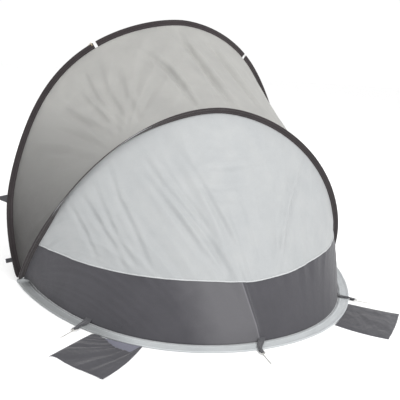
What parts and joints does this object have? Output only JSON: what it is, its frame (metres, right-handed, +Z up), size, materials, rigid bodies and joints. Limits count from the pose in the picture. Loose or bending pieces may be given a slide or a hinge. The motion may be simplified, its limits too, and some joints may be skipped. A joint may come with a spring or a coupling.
{
  "type": "pop-up tarp shelter",
  "caption": "Pop-up half-dome shelter with two spring hoops, a roof panel, rear wall with dark skirt, ground sheet, sand pockets and peg loops.",
  "frame": {"origin": "on the ground, midway between the two floor corners", "axes": "+Z up, the open front faces -Y, +X runs from the right corner to the left corner as seen from behind"},
  "size_m": [2.0222, 1.5722, 1.369],
  "materials": {
    "ground_sheet": "coated woven groundsheet",
    "hem_tape": "light grey coated fabric",
    "spring_steel": "bright spring steel",
    "sleeve_webbing": "charcoal brown woven sleeve",
    "grey_webbing": "dark ribbed polyester webbing",
    "bright_steel": "plated wire",
    "skirt_fabric": "dark grey woven",
    "silver_fabric": "silver coated light fabric",
    "roof_fabric": "thin grey woven, lets some light through",
    "white_collar": "off-white shrink tube",
    "pocket_fabric": "grey woven"
  },
  "bodies": {
    "floor": {"floor_sheet": "ground_sheet", "hem_rear": "hem_tape", "hem_front": "hem_tape", "wire_floor_rear": "spring_steel", "wire_floor_front": "spring_steel", "corner_patch_left": "sleeve_webbing", "corner_patch_right": "sleeve_webbing", "strap_rear": "grey_webbing", "strap_left": "grey_webbing", "strap_right": "grey_webbing", "ring_rear": "bright_steel", "ring_left": "bright_steel", "ring_right": "bright_steel", "wall_skirt": "skirt_fabric", "wall_panel": "silver_fabric"},
    "rear_hoop": {"wire_rear": "spring_steel", "sleeve_rear": "sleeve_webbing", "roof_canopy": "roof_fabric"},
    "front_hoop": {"wire_front": "spring_steel", "sleeve_front_left": "sleeve_webbing", "sleeve_front_top": "sleeve_webbing", "sleeve_front_right": "sleeve_webbing", "gap_collar_left": "white_collar", "gap_collar_right": "white_collar", "guy_tab_left": "sleeve_webbing", "guy_tab_right": "sleeve_webbing", "leg_loop_left": "grey_webbing", "leg_loop_right": "grey_webbing"},
    "pocket_left": {"sand_pocket_left": "pocket_fabric"},
    "pocket_right": {"sand_pocket_right": "pocket_fabric"},
    "peg_rear_body": {"peg_rear": "bright_steel"},
    "peg_left_body": {"peg_left": "bright_steel"},
    "peg_right_body": {"peg_right": "bright_steel"}
  },
  "joints": [
    {"name": "rear_fold", "type": "hinge", "parent": "floor", "child": "rear_hoop", "pos_m": [0, 0, 0.008], "axis": [1, 0, 0], "range_deg": [-50, 0], "stiffness_Nm_per_rad": 60, "deforming": ["wall_panel", "wall_skirt"]},
    {"name": "front_fold", "type": "hinge", "parent": "rear_hoop", "child": "front_hoop", "pos_m": [0, 0, 0.008], "axis": [1, 0, 0], "range_deg": [-45, 0], "stiffness_Nm_per_rad": 60, "deforming": ["roof_canopy"]},
    {"name": "pocket_left_flap", "type": "hinge", "parent": "floor", "child": "pocket_left", "pos_m": [0.69895, 0.5969, 0.0092], "axis": [0.8, -0.6, 0], "range_deg": [0, 60]},
    {"name": "pocket_right_flap", "type": "hinge", "parent": "floor", "child": "pocket_right", "pos_m": [-0.49479, 0.76135, 0.0092], "axis": [0.75, 0.6614, 0], "range_deg": [0, 60]},
    {"name": "peg_rear_swing", "type": "hinge", "parent": "floor", "child": "peg_rear_body", "pos_m": [0, 0.9162, 0.0075], "axis": [1, 0, 0], "range_deg": [0, 75]},
    {"name": "peg_left_swing", "type": "hinge", "parent": "floor", "child": "peg_left_body", "pos_m": [0.76711, 0.54388, 0.0075], "axis": [0.5955, -0.8034, 0], "range_deg": [0, 75]},
    {"name": "peg_right_swing", "type": "hinge", "parent": "floor", "child": "peg_right_body", "pos_m": [-0.76711, 0.54388, 0.0075], "axis": [0.5955, 0.8034, 0], "range_deg": [0, 75]}
  ]
}
